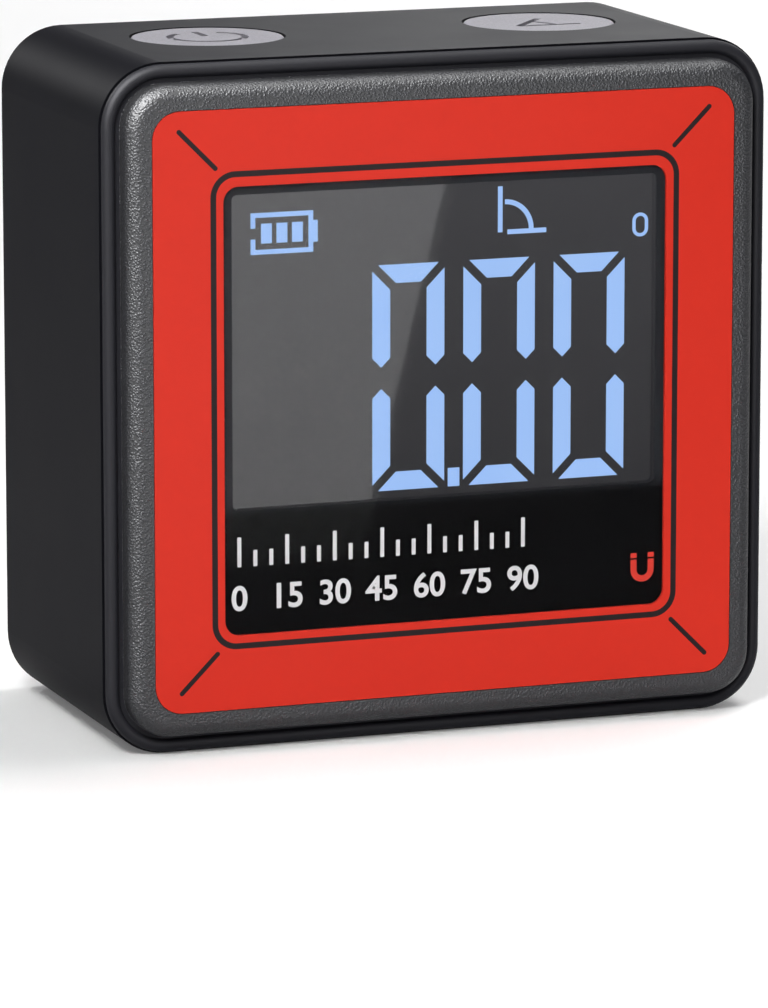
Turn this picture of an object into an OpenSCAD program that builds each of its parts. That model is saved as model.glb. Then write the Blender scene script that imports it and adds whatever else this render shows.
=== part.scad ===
// Digital angle gauge with a magnetic base, a backlit display and two push buttons on top.
// Frame: X to the right, Y towards the back, Z up, with the origin under the middle of the base.
// All sizes are in millimetres. Depths are counted from the front plane towards the back.

/* [Case] */
// Width of the case across its face
body_w = 52; // [46:0.5:62]
// Height of the case from the base to the top face
body_h = 51; // [45:0.5:62]
// Depth of the case from the front plane to the back
body_d = 27; // [24:0.5:34]
// Radius of the four corners seen from the front
corner_r = 4.7; // [4.2:0.1:5.6]
// Thickness of the case walls
case_wall = 2.2; // [1.9:0.1:2.4]
// Thickness of the base that holds the magnets
base_wall = 3.2; // [2.8:0.1:4]
// Rounding of the outer edge at the back
back_edge_r = 1; // [0.4:0.1:1.4]

/* [Bezel] */
// Step from the side of the case in to the lip
lip_step = 0.15; // [0.1:0.05:0.3]
// Radius of the smooth round lip next to the seam
lip_r = 0.5; // [0.46:0.02:0.6]
// Depth of the lip's crest behind the front plane
lip_crest = 1.5; // [1.3:0.05:1.7]
// Valley between the lip and the shoulder, from the side of the case
valley_in = 1.5; // [1.45:0.05:1.6]
// Depth of the valley behind the lip's crest
valley_drop = 0.4; // [0.3:0.02:0.44]
// Radius of the grained shoulder that rises inside the lip
shoulder_r = 1.05; // [0.8:0.05:1.2]
// Straight wall between the lip and the seam
lip_land = 0.3; // [0.2:0.01:0.4]
// Width and depth of the fine groove along the seam
seam_groove = 0.12; // [0.08:0.01:0.14]
// Rim from the side of the case to the edge of the red panel
rim_w = 3.35; // [3:0.05:4.2]
// Depth of the skirt that plugs into the case
skirt_l = 3.5; // [2:0.1:4]
// Wall of the skirt
skirt_t = 1.2; // [0.8:0.1:1.4]
// Thickness of the plate behind the panel, front plane to back face
plate_t = 2.4; // [2:0.05:2.6]

/* [Face panel] */
// Thickness of the red panel
panel_t = 0.3; // [0.25:0.01:0.4]
// Corner radius of the red panel
panel_r = 2.1; // [1:0.1:2.4]
// Red margin from the panel's edge to the black outline, at the sides
outline_side = 4.36; // [3.8:0.02:5]
// Red margin from the panel's edge to the black outline, at the top and the bottom
outline_ends = 4.51; // [4:0.01:5]
// Width of the black outline round the window
line_w = 0.44; // [0.3:0.02:0.6]
// Red strip between the window and the outline, at the sides and the bottom
line_gap = 0.6; // [0.4:0.05:0.8]
// Red strip between the window and the outline, at the top
line_gap_top = 0.75; // [0.5:0.05:0.9]
// Corner radius of the outline
line_r = 1.9; // [1.2:0.1:2.2]
// Depth of the colour-filled lines
line_t = 0.08; // [0.05:0.01:0.12]
// Width of the four diagonal corner strokes
stroke_w = 0.36; // [0.25:0.01:0.5]
// Length of a corner stroke along the diagonal
stroke_l = 3.9; // [2:0.1:4.4]
// Start of a corner stroke, inwards from the outline's side
stroke_side = 0.39; // [0.2:0.01:0.5]
// Start of a corner stroke, beyond the outline's top or bottom
stroke_ends = 0.26; // [0.2:0.01:0.4]

/* [Display] */
// Corner radius of the display window
lens_r = 1.1; // [0.6:0.1:2]
// Thickness of the display window, flush with the panel
lens_t = 0.25; // [0.2:0.01:0.3]
// Thickness of the black printed border behind the window
mask_t = 0.05; // [0.04:0.01:0.1]
// Black border beside the visible display
border_side = 0.65; // [0.4:0.05:1.2]
// Black border above the visible display
border_top = 0.6; // [0.4:0.05:1.2]
// Black border below the visible display, where the window is printed
border_bottom = 9.2; // [7:0.1:10.5]
// Corner radius of the visible display
view_r = 0.4; // [0.2:0.1:0.8]
// Gap from the visible display to the bezel's opening, hidden behind the border
opening_gap = 0.2; // [0.1:0.02:0.3]
// Ledge of the bezel between the window and the display glass
ledge_t = 0.4; // [0.35:0.05:0.8]
// Thickness of each of the two display glasses
glass_t = 1; // [0.8:0.1:1.1]
// Border of the two glasses beyond the visible display
glass_border = 1.4; // [1:0.1:1.6]
// Height of the contact strip of the front glass, below the rear glass
contact_h = 2.4; // [2.2:0.1:2.8]
// Thickness of the lit shapes on the front glass
lit_t = 0.06; // [0.04:0.01:0.1]
// Thickness of the backlight plate
backlight_t = 2; // [1.5:0.1:2.4]
// Thickness of the holder's floor
holder_floor = 1.2; // [1:0.1:1.5]
// Wall of the holder
holder_wall = 0.8; // [0.6:0.1:0.9]
// Height and depth clearance of the backlight and the contact strip in the holder
holder_gap = 0.1; // [0.05:0.01:0.15]
// Height of the elastic contact strip
strip_h = 1.6; // [1.2:0.1:1.7]
// Distance of the elastic strip's slot from the lower edge of the front glass
strip_lift = 0.3; // [0.2:0.05:0.4]

/* [Digits] */
// Width of one digit
digit_w = 5.62; // [5:0.02:6.2]
// Gap between two digits
digit_gap = 1.5; // [1.2:0.02:1.8]
// Margin right of the last digit
digit_margin = 2.36; // [1.8:0.02:3]
// Margin below the digits
digit_low = 0.66; // [0.4:0.02:1]
// Height of the band of small symbols above the digits
icon_band = 5.79; // [5.4:0.01:7]
// Width of a lit bar
bar_w = 1.38; // [1:0.02:1.6]
// Set-back of a bar from the mitred corner
mitre_gap = 0.46; // [0.3:0.02:0.6]
// Gap between the upper and the lower bars
middle_gap = 1.6; // [1.2:0.1:2]
// Width of the decimal point
point_w = 0.9; // [0.6:0.05:1]
// Stroke of the small symbols
icon_stroke = 0.35; // [0.25:0.01:0.4]
// Length of the battery symbol
cell_icon_w = 4.8; // [4.6:0.1:5.4]
// Height of the battery symbol
cell_icon_h = 3.05; // [2.8:0.05:3.4]
// Length of the angle symbol's arms
angle_icon = 3.4; // [3:0.1:3.6]
// Width of the degree ring
degree_w = 1.24; // [1:0.02:1.4]
// Height of the degree ring
degree_h = 1.78; // [1.6:0.02:2]

/* [Buttons] */
// Diameter of a button
button_d = 11.4; // [10:0.1:12.4]
// Distance of a button's axis from the side of the case
button_inset = 12.8; // [12:0.1:14]
// Axis of the buttons behind the front plane
button_back = 15.6; // [14.4:0.1:16.8]
// Travel of a button
button_travel = 0.3; // [0.2:0.05:0.4]
// Depth of the button's face below the top face
button_recess = 0.05; // [0.05:0.05:0.3]
// Gap round a button
button_gap = 0.12; // [0.08:0.01:0.2]
// Chamfer round a button's face
button_edge = 0.1; // [0.1:0.05:0.4]
// Width of the flange that keeps a button in the case
flange_w = 0.6; // [0.4:0.05:0.7]
// Thickness of that flange
flange_t = 1; // [0.8:0.1:1.1]
// Gap between the flange and the case
flange_gap = 0.2; // [0.1:0.05:0.3]
// Length of the stem below the flange
stem_l = 0.4; // [0.3:0.1:0.6]

/* [Button board] */
// Thickness of the button board
key_board_t = 1; // [0.8:0.1:1.2]
// Gap between the button board and the case walls
key_board_gap = 0.2; // [0.1:0.05:0.3]
// Width of a push switch
switch_w = 6; // [5:0.2:6.6]
// Height of a push switch
switch_h = 3.4; // [3:0.1:3.8]
// Diameter of a switch plunger
plunger_d = 3.3; // [2.8:0.1:3.6]
// Length of a switch plunger
plunger_l = 2.2; // [2:0.1:2.4]
// Part of the plunger that sits inside the switch
plunger_in = 0.8; // [0.6:0.1:1]
// Running gap round a plunger
plunger_gap = 0.08; // [0.05:0.01:0.1]
// Reach of the rails that hold the board, from the case wall
rail_w = 2.5; // [2:0.1:2.8]
// Thickness of a rail
rail_t = 1.1; // [0.9:0.1:1.3]
// Play of the board between its rails
rail_gap = 0.1; // [0.05:0.01:0.15]
// Thickness of the stop at the front of the rails
rail_stop = 0.4; // [0.3:0.05:0.6]
// Width of the pin block that joins the two boards
header_w = 12; // [10:0.5:13]
// Height of that pin block
header_h = 2.5; // [2:0.1:2.6]
// Reach of the pin block under the button board
header_reach = 1.3; // [1:0.1:1.6]

/* [Main board] */
// Thickness of the main circuit board
board_t = 1.2; // [1:0.1:1.6]
// Gap between the main board and the bezel's skirt and bosses
board_gap = 0.3; // [0.2:0.05:0.4]
// Distance of the chips from the middle of the board
chip_x = 9; // [8:0.5:10]
// Width of the controller chip
chip_w = 10; // [8:0.5:11]
// Thickness of the controller chip
chip_t = 1.4; // [1:0.1:1.5]
// Width of the tilt sensor
sensor_w = 4; // [3:0.5:5]
// Thickness of the tilt sensor
sensor_t = 1; // [0.8:0.1:1.2]
// Depth of the pin-one dimple in a chip
dimple_t = 0.1; // [0.05:0.01:0.2]
// Gap between neighbouring pieces on the board
part_gap = 0.6; // [0.4:0.1:1]
// Width of the battery
battery_w = 30; // [24:1:33]
// Thickness of the battery
battery_t = 5; // [4:0.2:5.4]
// Corner radius of the battery
battery_r = 1.2; // [0.6:0.1:2]
// Thickness of the foam pad under the battery
pad_t = 1.5; // [1:0.1:1.6]
// Distance of the pad's edge inside the battery's
pad_inset = 2; // [1:0.2:3]

/* [Charging socket] */
// Width of the socket's metal shell
socket_w = 8.94; // [8.9:0.02:9]
// Height of the socket's metal shell
socket_h = 3.16; // [3.1:0.02:3.26]
// Depth of the socket's metal shell
socket_l = 7.3; // [6.6:0.1:8]
// Wall of the socket's metal shell
socket_wall = 0.3; // [0.2:0.05:0.35]
// Depth of the socket's mouth inside the back
socket_recess = 0.3; // [0.1:0.1:0.6]
// Width of the tongue that carries the contacts
tongue_w = 6.7; // [6.6:0.02:6.8]
// Thickness of that tongue
tongue_t = 0.7; // [0.6:0.02:0.76]
// Depth of the tongue inside the socket's mouth
tongue_recess = 0.7; // [0.5:0.1:1]
// Thickness of the insulator that closes the socket
plug_t = 2; // [1.4:0.1:2.4]
// Thickness of the charging board
charge_board_t = 1; // [0.8:0.1:1.2]
// Height of the charging board above the base's inner face
charge_board_up = 3.2; // [2.6:0.1:4]
// Length of the charging board in front of the socket
charge_lead = 4.6; // [4:0.1:5]
// Distance of the pegs from the middle
peg_x = 6.5; // [5.5:0.1:7]
// Distance of the pegs in front of the socket
peg_lead = 2.2; // [2:0.1:2.6]
// Diameter of a peg's pin
pin_d = 1.5; // [1.2:0.1:1.6]
// Step round a peg's pin that the board rests on
peg_step = 1; // [0.8:0.1:1.2]
// Length of a pin above the board
pin_over = 0.8; // [0.5:0.1:1]
// Margin of the charging board beside the pegs
peg_margin = 2.5; // [2:0.1:3]

/* [Magnets and fasteners] */
// Diameter of a base magnet
magnet_d = 10; // [8:0.5:11]
// Thickness of a base magnet
magnet_t = 2; // [1.5:0.1:2.2]
// Distance of a magnet's axis from the side of the case
magnet_inset = 14; // [13.5:0.1:16]
// Depth of a magnet's face inside the base
magnet_recess = 0.1; // [0.05:0.05:0.2]
// Thickness of the rear cover
cover_t = 2; // [1.8:0.1:2.4]
// Width of the cover's rib that keeps the button board in its rails
rib_w = 16; // [10:1:20]
// Length of that rib
rib_l = 2.4; // [2:0.1:3]
// Distance of the case screws' axes from the case sides
screw_inset = 5.2; // [4.8:0.1:5.7]
// Diameter of a case screw's shank
screw_d = 1.9; // [1.6:0.1:2.1]
// Diameter of a case screw's head
screw_head_d = 3.6; // [3:0.1:3.8]
// Height of a case screw's head
screw_head_t = 1.2; // [0.9:0.1:1.3]
// Depth of a case screw's head below the cover
head_recess = 0.2; // [0.1:0.05:0.3]
// Length of a case screw inside the bezel's boss
screw_grip = 4.5; // [3:0.1:5]
// Length and width of the cross recess in a screw head
cross = [2.2, 0.5]; // [0.4:0.1:2.4]
// Free depth below the tip of a screw
tip_gap = 0.3; // [0.2:0.05:0.4]
// Gap round a screw in its hole
screw_gap = 0.1; // [0.05:0.05:0.2]
// Radius of a boss for a case screw
boss_r = 2.4; // [2:0.1:2.5]
// Reach of the case bosses behind the main board
boss_over = 1.2; // [1:0.1:1.6]
// Diameter of a board screw's shank
board_screw_d = 1.4; // [1.2:0.1:1.6]
// Length of a board screw inside its boss
board_screw_l = 2.4; // [2:0.1:3]
// Diameter of a board screw's head
board_screw_head_d = 2.8; // [2.4:0.1:3]
// Height of a board screw's head
board_screw_head_t = 0.9; // [0.7:0.1:1]
// Radius of a boss for a board screw
board_boss_r = 1.5; // [1.2:0.1:1.6]
// Gap between those bosses and the display holder
board_boss_gap = 0.5; // [0.3:0.05:0.7]
// Height of the board screws above and below the middle of the face
board_screw_up = 12.5; // [11:0.1:13]
// Fitting gap between parts that are pushed into each other
fit_gap = 0.05; // [0.03:0.01:0.08]
// Gap between the skirt, the cover and the case walls
case_gap = 0.1; // [0.05:0.01:0.15]

/* [Hidden] */
$fn = 64;

// Overlap of cuts and of unions, so that no two faces coincide
eps = 0.01;
// Depth to which a wall or boss is rooted in the bezel's plate
root = 1;

front_y = -body_d / 2;
face_z = body_h / 2;

// Depths of the bezel and of what lies behind it
lip_at = lip_crest + lip_r;
valley_at = lip_crest + valley_drop;
seam_at = lip_at + lip_land;
skirt_end = seam_at + skirt_l;
lens_back = lens_t + mask_t;
glass_front = lens_back + ledge_t;
glass_back = glass_front + 2 * glass_t;
backlight_back = glass_back + backlight_t;
holder_back = backlight_back + holder_floor;
board_back = holder_back + board_t;
boss_end = board_back + boss_over;
cover_at = body_d - cover_t;
head_at = body_d - screw_head_t - head_recess;

// Insets from the case sides
section_overlap = 0.3;
flat_in = valley_in + shoulder_r;
plate_inset = flat_in + section_overlap;
skirt_inset = case_wall + case_gap;
board_inset = skirt_inset + skirt_t + board_gap;

// The face: panel, outline and window, one inside the other
panel_w = body_w - 2 * rim_w;
panel_h = body_h - 2 * rim_w;
line_out_w = panel_w - 2 * outline_side;
line_out_h = panel_h - 2 * outline_ends;
lens_w = line_out_w - 2 * (line_w + line_gap);
lens_h = line_out_h - 2 * line_w - line_gap - line_gap_top;
lens_z = face_z + (line_gap - line_gap_top) / 2;
view_w = lens_w - 2 * border_side;
view_h = lens_h - border_top - border_bottom;
view_top = lens_z + lens_h / 2 - border_top;
view_bottom = view_top - view_h;
view_z = view_top - view_h / 2;

// Display glass, contact strip and backlight, seen from the front
glass_w = view_w + 2 * glass_border;
glass_top = view_top + glass_border;
rear_glass_bottom = view_bottom - glass_border;
glass_bottom = rear_glass_bottom - contact_h;
strip_w = view_w - 2 * glass_border;
strip_bottom = glass_bottom + strip_lift;
backlight_w = view_w + glass_border;
backlight_bottom = view_bottom - glass_border / 2;
backlight_top = view_top + glass_border / 2;

// Digits: the last one ends a fixed margin from the right edge of the view
digit_pitch = digit_w + digit_gap;
digit_h = view_h - digit_low - icon_band;
digits_x = view_w / 2 - digit_margin - digit_w - 2 * digit_pitch;
digit_base = view_bottom + digit_low;

// Small symbols: [distance from the edge or the digit beside them, drop below the top of the view]
cell_icon_at = [1.6, 4.51];
angle_icon_at = [2.7, 3.85];
degree_at = [1.12, 3.85];
cell_notch = 0.8;
cell_margin = 0.8;
cell_bar_gap = 0.37;
angle_gap = 0.4;
angle_arc_r = 2.25;

// Places of the case screws and of the board's own screws
screw_x = body_w / 2 - screw_inset;
screw_zs = [screw_inset, body_h - screw_inset];
board_screw_x = glass_w / 2 + holder_wall + board_boss_gap + board_boss_r;

// Heights under the top face
button_x = body_w / 2 - button_inset;
button_top = body_h - button_recess;
ceiling = body_h - case_wall;
flange_top = ceiling - flange_gap;
flange_bottom = flange_top - flange_t;
plunger_top = flange_bottom - stem_l;
plunger_bottom = plunger_top - plunger_l;
switch_top = plunger_bottom + plunger_in;
key_board_top = switch_top - switch_h;
key_board_z = key_board_top - key_board_t;
flange_r = button_d / 2 + flange_w;

// The button board between the bosses at the front and the cover's rib at the back
key_board_front = boss_end + rail_stop;
key_board_back = cover_at - rib_l;
header_bottom = key_board_z - header_h;

// The charging socket and its board
magnet_x = body_w / 2 - magnet_inset;
charge_z = base_wall + charge_board_up;
socket_z = charge_z + charge_board_t + socket_h / 2;
socket_end = body_d - socket_recess;
socket_front = socket_end - socket_l;
charge_front = socket_front - charge_lead;
charge_end = cover_at - part_gap;
peg_back = socket_front - peg_lead;

// The chips hang under the pin block, and the battery fills the height down to the pegs
chip_z = header_bottom - part_gap - chip_w / 2;
battery_top = chip_z - chip_w / 2 - part_gap;
battery_bottom = charge_z + charge_board_t + pin_over + part_gap;
battery_h = battery_top - battery_bottom;
battery_z = (battery_top + battery_bottom) / 2;

/* Helpers */

// Draws its children as seen from the front: x stays, y becomes the height, z the depth
module from_front() {
    translate([0, front_y, 0]) rotate([90, 0, 0]) mirror([0, 0, 1]) children();
}

// A plate between two depths, from an outline drawn as seen from the front
module slab(near, far) {
    from_front() translate([0, 0, near]) linear_extrude(far - near) children();
}

// A quarter of a disc in the first quadrant
module quarter(r) {
    intersection() {
        circle(r);
        square(r);
    }
}

// A centred rectangle with true round corners
module rounded(w, h, r) {
    square([w, h - 2 * r], center = true);
    for (side = [-1, 1]) {
        translate([0, side * (h - r) / 2]) square([w - 2 * r, r], center = true);
        for (end = [-1, 1])
            translate([end * (w / 2 - r), side * (h / 2 - r)])
                mirror([end < 0 ? 1 : 0, 0]) mirror([0, side < 0 ? 1 : 0]) quarter(r);
    }
}

// The outline of the case, moved inwards
module case_outline(inset) {
    translate([0, face_z]) rounded(body_w - 2 * inset, body_h - 2 * inset, corner_r - inset);
}

// The outlines of the panel, the window and the visible display, moved outwards
module panel_outline(gap) {
    translate([0, face_z]) rounded(panel_w + 2 * gap, panel_h + 2 * gap, panel_r + gap);
}

module lens_outline(gap) {
    translate([0, lens_z]) rounded(lens_w + 2 * gap, lens_h + 2 * gap, lens_r + gap);
}

module view_outline(gap) {
    translate([0, view_z]) rounded(view_w + 2 * gap, view_h + 2 * gap, view_r + gap);
}

// A rectangle about the middle line, between two heights
module band(w, bottom, top) {
    translate([-w / 2, bottom]) square([w, top - bottom]);
}

// Sweeps a section round the case: x is the distance from the side, y the depth
module around_case() {
    from_front() translate([0, face_z, 0]) for (turn = [0 : 3]) {
        run = turn % 2 == 0 ? body_w : body_h;
        away = turn % 2 == 0 ? body_h : body_w;
        rotate([0, 0, turn * 90]) {
            translate([-run / 2 + corner_r, -away / 2, 0]) rotate([90, 0, 90])
                linear_extrude(run - 2 * corner_r) children();
            translate([run / 2 - corner_r, -away / 2 + corner_r, 0]) rotate([0, 0, -90])
                rotate_extrude(angle = 90) translate([corner_r, 0]) mirror([1, 0]) children();
        }
    }
}

// A straight stroke with round ends, from the origin along x
module stroke(l, w) {
    translate([0, -w / 2]) square([l, w]);
    for (end = [0, 1]) translate([end * l, 0]) rotate(end * 180 + 90) for (half = [0, 1])
        mirror([half, 0]) quarter(w / 2);
}

// The four case screws' axes
module at_case_screws() {
    for (side = [-1, 1], z = screw_zs) translate([side * screw_x, z]) children();
}

// The main board's four screws' axes
module at_board_screws() {
    for (side = [-1, 1], up = [-1, 1])
        translate([side * board_screw_x, face_z + up * board_screw_up]) children();
}

// A solid standing on one of the two button axes: side is -1 for power and 1 for mode
module at_button(side) {
    translate([side * button_x, front_y + button_back, 0]) children();
}

/* Case */

// Rounded case ring with button holes, magnet pockets, screw posts and rails for the button board
module body_frame() color("#2a2a2d") {
    difference() {
        union() {
            around_case() frame_section();
            frame_floor();
            frame_posts();
            frame_rails();
        }
        slab(boss_end - eps, cover_at + eps) at_case_screws() circle(screw_d / 2 + screw_gap);
        for (side = [-1, 1]) at_button(side) {
            translate([0, 0, flange_top])
                cylinder(r = button_d / 2 + button_gap, h = body_h - flange_top + eps);
            translate([0, 0, flange_bottom - button_travel - flange_gap])
                cylinder(r = flange_r + flange_gap, h = ceiling - flange_bottom + button_travel + flange_gap);
        }
        for (side = [-1, 1]) translate([side * magnet_x, 0, -eps])
            cylinder(r = magnet_d / 2 + fit_gap, h = magnet_t + magnet_recess + eps);
    }
}

// Section of the case ring: a plain wall with a rounded outer edge at the back
module frame_section() {
    edge_at = body_d - back_edge_r;
    translate([0, seam_at]) square([case_wall, edge_at - seam_at]);
    translate([back_edge_r, edge_at]) mirror([1, 0]) quarter(back_edge_r);
    translate([back_edge_r, edge_at]) square([case_wall - back_edge_r, back_edge_r]);
}

// Thicker floor over the magnets, and the two pegs that carry the charging board
module frame_floor() {
    floor_w = 2 * (screw_x - boss_r - board_gap);
    slab(skirt_end + 2 * case_gap, cover_at) band(floor_w, case_wall / 2, base_wall);
    for (side = [-1, 1]) translate([side * peg_x, front_y + peg_back, 0]) {
        translate([0, 0, base_wall - eps]) cylinder(d = pin_d + 2 * peg_step, h = charge_board_up + eps);
        translate([0, 0, charge_z - eps]) cylinder(d = pin_d, h = charge_board_t + pin_over + eps);
    }
}

// Corner posts that the case screws pass through
module frame_posts() {
    slab(boss_end, cover_at) {
        at_case_screws() circle(boss_r + case_gap);
        intersection() {
            case_outline(case_wall / 2);
            for (side = [-1, 1], up = [-1, 1]) translate([side * body_w / 2, face_z + up * body_h / 2])
                square(2 * screw_inset, center = true);
        }
    }
}

// Grooved rails on both side walls, with a stop at the front
module frame_rails() {
    rail_x = body_w / 2 - case_wall - rail_w;
    rail_end = cover_at - part_gap;
    rooted_w = rail_w + case_wall / 2;
    for (side = [0, 1]) mirror([side, 0, 0]) {
        slab(boss_end, rail_end) for (z = [key_board_z - rail_t, key_board_top + rail_gap])
            translate([rail_x, z]) square([rooted_w, rail_t]);
        slab(boss_end, key_board_front) translate([rail_x, key_board_z - rail_t])
            square([rooted_w, key_board_t + rail_gap + 2 * rail_t]);
    }
}

// Front frame: smooth lip, grained shoulder, pockets for the panel, the window and the display
module front_bezel() color("#4c4d50") {
    difference() {
        union() {
            around_case() bezel_section();
            slab(0, plate_t) case_outline(plate_inset);
            slab(plate_t - root, skirt_end) difference() {
                case_outline(skirt_inset);
                case_outline(skirt_inset + skirt_t);
            }
            slab(plate_t - root, boss_end) at_case_screws() circle(boss_r);
            slab(plate_t - root, holder_back) at_board_screws() circle(board_boss_r);
        }
        slab(-eps, panel_t) panel_outline(fit_gap);
        slab(-eps, lens_back) lens_outline(fit_gap);
        slab(-eps, plate_t) view_outline(opening_gap);
        slab(glass_front, plate_t + eps)
            band(glass_w + 2 * fit_gap, glass_bottom - fit_gap, glass_top + fit_gap);
        slab(boss_end - screw_grip - tip_gap, boss_end + eps) at_case_screws()
            circle(screw_d / 2 + screw_gap);
        slab(holder_back - board_screw_l - tip_gap, holder_back + eps) at_board_screws()
            circle(board_screw_d / 2 + screw_gap);
    }
}

// Section of the bezel: a round lip at the seam, a valley, and a shoulder that rises to the front
module bezel_section() {
    inner = plate_inset + section_overlap;
    groove_at = seam_at - seam_groove;
    lip_in = lip_step + lip_r;
    translate([lip_in, lip_at]) for (half = [0, 1]) mirror([half, 0]) mirror([0, 1]) quarter(lip_r);
    translate([lip_in, valley_at]) square([inner - lip_in, lip_at - valley_at]);
    translate([flat_in, shoulder_r]) mirror([1, 0]) mirror([0, 1]) quarter(shoulder_r);
    translate([flat_in, 0]) square([inner - flat_in, shoulder_r]);
    translate([valley_in, shoulder_r]) square([inner - valley_in, lip_at - shoulder_r]);
    translate([lip_step, lip_at]) square([inner - lip_step, groove_at - lip_at]);
    translate([lip_step + seam_groove, groove_at]) square([inner - lip_step - seam_groove, seam_groove]);
}

// Inset back with four counterbored screw holes, the socket's mouth and a rib behind the button board
module rear_cover() color("#262629") {
    mouth_gap = 2 * case_gap;
    difference() {
        union() {
            slab(cover_at, body_d) case_outline(case_wall + case_gap);
            slab(key_board_back, cover_at + eps) band(rib_w, key_board_z - rail_t, key_board_top + rail_t);
        }
        slab(cover_at - eps, body_d + eps) at_case_screws() circle(screw_d / 2 + screw_gap);
        slab(head_at, body_d + eps) at_case_screws() circle(screw_head_d / 2 + 2 * screw_gap);
        slab(cover_at - eps, body_d + eps) socket_outline(-mouth_gap);
    }
}

// Four long screws that clamp the cover and the bezel to the case
module case_screws() color("#8d8f94") {
    difference() {
        union() {
            slab(boss_end - screw_grip, head_at + eps) at_case_screws() circle(screw_d / 2);
            slab(head_at, head_at + screw_head_t) at_case_screws() circle(screw_head_d / 2);
        }
        slab(head_at + screw_head_t / 2, body_d) at_case_screws() for (turn = [0, 90])
            rotate(turn) square(cross, center = true);
    }
}

/* Face */

// Outline round the window and the four corner strokes
module panel_pattern() {
    start = [line_out_w / 2 - stroke_side, line_out_h / 2 + stroke_ends];
    translate([0, face_z]) {
        difference() {
            rounded(line_out_w, line_out_h, line_r);
            rounded(line_out_w - 2 * line_w, line_out_h - 2 * line_w, line_r - line_w);
        }
        for (side = [-1, 1], up = [-1, 1]) translate([side * start[0], up * start[1]])
            rotate(up * (90 - side * 45)) stroke(stroke_l, stroke_w);
    }
}

// Red panel with the window opening and the sunk lines
module face_panel() color("#d8362a") {
    difference() {
        slab(0, panel_t) panel_outline(0);
        slab(-eps, panel_t + eps) lens_outline(fit_gap);
        slab(-eps, line_t) panel_pattern();
    }
}

// Black filling of the sunk lines
module panel_lines() color("#221a1c") slab(0, line_t) panel_pattern();

// Clear window, flush with the panel
module display_lens() color("#d5dbe2", 0.35) slab(0, lens_t) lens_outline(0);

// Black printed border behind the window
module lens_border() color("#0c0b0f") {
    slab(lens_t, lens_back) difference() {
        lens_outline(0);
        view_outline(0);
    }
}

/* Display */

// Two glasses: the front one is taller, and its lower strip carries the contacts
module display_glass() color("#47464a") {
    slab(glass_front, glass_front + glass_t) band(glass_w, glass_bottom, glass_top);
    slab(glass_front + glass_t, glass_back) band(glass_w, rear_glass_bottom, glass_top);
}

// One lit zero: four mitred uprights and the top and bottom bars
module zero_digit() {
    tip = bar_w / 2;
    middle = (digit_h - middle_gap) / 2;
    for (side = [0, 1], end = [0, 1]) translate([side * digit_w, end * digit_h])
        mirror([side, 0]) mirror([0, end]) polygon([
            [0, mitre_gap], [bar_w, mitre_gap + bar_w],
            [bar_w, middle - tip], [tip, middle], [0, middle - tip]
        ]);
    for (end = [0, 1]) translate([0, end * digit_h]) mirror([0, end]) polygon([
        [mitre_gap, 0], [digit_w - mitre_gap, 0],
        [digit_w - mitre_gap - bar_w, bar_w], [mitre_gap + bar_w, bar_w]
    ]);
}

// Battery symbol: an open case, a terminal and three charge bars
module battery_symbol() {
    bar = (cell_icon_w - 2 * cell_margin - 2 * cell_bar_gap) / 3;
    difference() {
        square([cell_icon_w, cell_icon_h]);
        translate([icon_stroke, icon_stroke])
            square([cell_icon_w - 2 * icon_stroke, cell_icon_h - 2 * icon_stroke]);
        translate([-eps, (cell_icon_h - cell_notch) / 2]) square([icon_stroke + 2 * eps, cell_notch]);
    }
    translate([cell_icon_w, cell_icon_h / 2 - cell_notch]) square([icon_stroke, 2 * cell_notch]);
    for (place = [0 : 2]) translate([cell_margin + place * (bar + cell_bar_gap), cell_margin])
        square([bar, cell_icon_h - 2 * cell_margin]);
}

// Angle symbol: two arms and the arc between them
module angle_symbol() {
    square([icon_stroke, angle_icon]);
    translate([icon_stroke + angle_gap, -icon_stroke / 2])
        square([angle_icon - icon_stroke, icon_stroke]);
    translate([icon_stroke + angle_gap / 2, icon_stroke / 2]) difference() {
        quarter(angle_arc_r);
        translate([-eps, -eps]) quarter(angle_arc_r - icon_stroke);
    }
}

// Small raised ring for degrees, taller than wide
module degree_symbol() {
    ring = icon_stroke * 0.7;
    difference() {
        rounded(degree_w, degree_h, degree_w / 2 - eps);
        rounded(degree_w - 2 * ring, degree_h - 2 * ring, degree_w / 2 - ring - eps);
    }
}

// Everything that is lit on the display
module display_segments() color("#a5c8ff") {
    slab(glass_front - lit_t, glass_front) {
        for (place = [0 : 2]) translate([digits_x + place * digit_pitch, digit_base]) zero_digit();
        translate([digits_x + digit_w + (digit_gap - point_w) / 2, digit_base]) square([point_w, bar_w]);
        translate([-view_w / 2 + cell_icon_at[0], view_top - cell_icon_at[1]]) battery_symbol();
        translate([digits_x + digit_pitch + angle_icon_at[0], view_top - angle_icon_at[1]]) angle_symbol();
        translate([view_w / 2 - degree_at[0], view_top - degree_at[1]]) degree_symbol();
    }
}

// Light guide behind the glass
module backlight_plate() color("#e6ecf5") {
    slab(glass_back, backlight_back) band(backlight_w, backlight_bottom, backlight_top);
}

// Tray that presses the glass and the backlight against the bezel, cut back round the case bosses
module display_holder() color("#d9d9d6") {
    difference() {
        slab(plate_t, holder_back)
            band(glass_w + 2 * holder_wall, glass_bottom - holder_wall, glass_top + holder_wall);
        slab(plate_t - eps, glass_back + holder_gap)
            band(glass_w + 2 * holder_gap, glass_bottom - holder_gap, glass_top + holder_gap);
        slab(plate_t - eps, backlight_back)
            band(backlight_w + 2 * holder_gap, backlight_bottom - holder_gap, backlight_top + holder_gap);
        slab(plate_t - eps, holder_back + eps)
            band(strip_w + 2 * holder_gap, strip_bottom, strip_bottom + strip_h + 2 * holder_gap);
        slab(plate_t - eps, holder_back + eps) at_case_screws() circle(boss_r + board_gap);
    }
}

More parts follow.
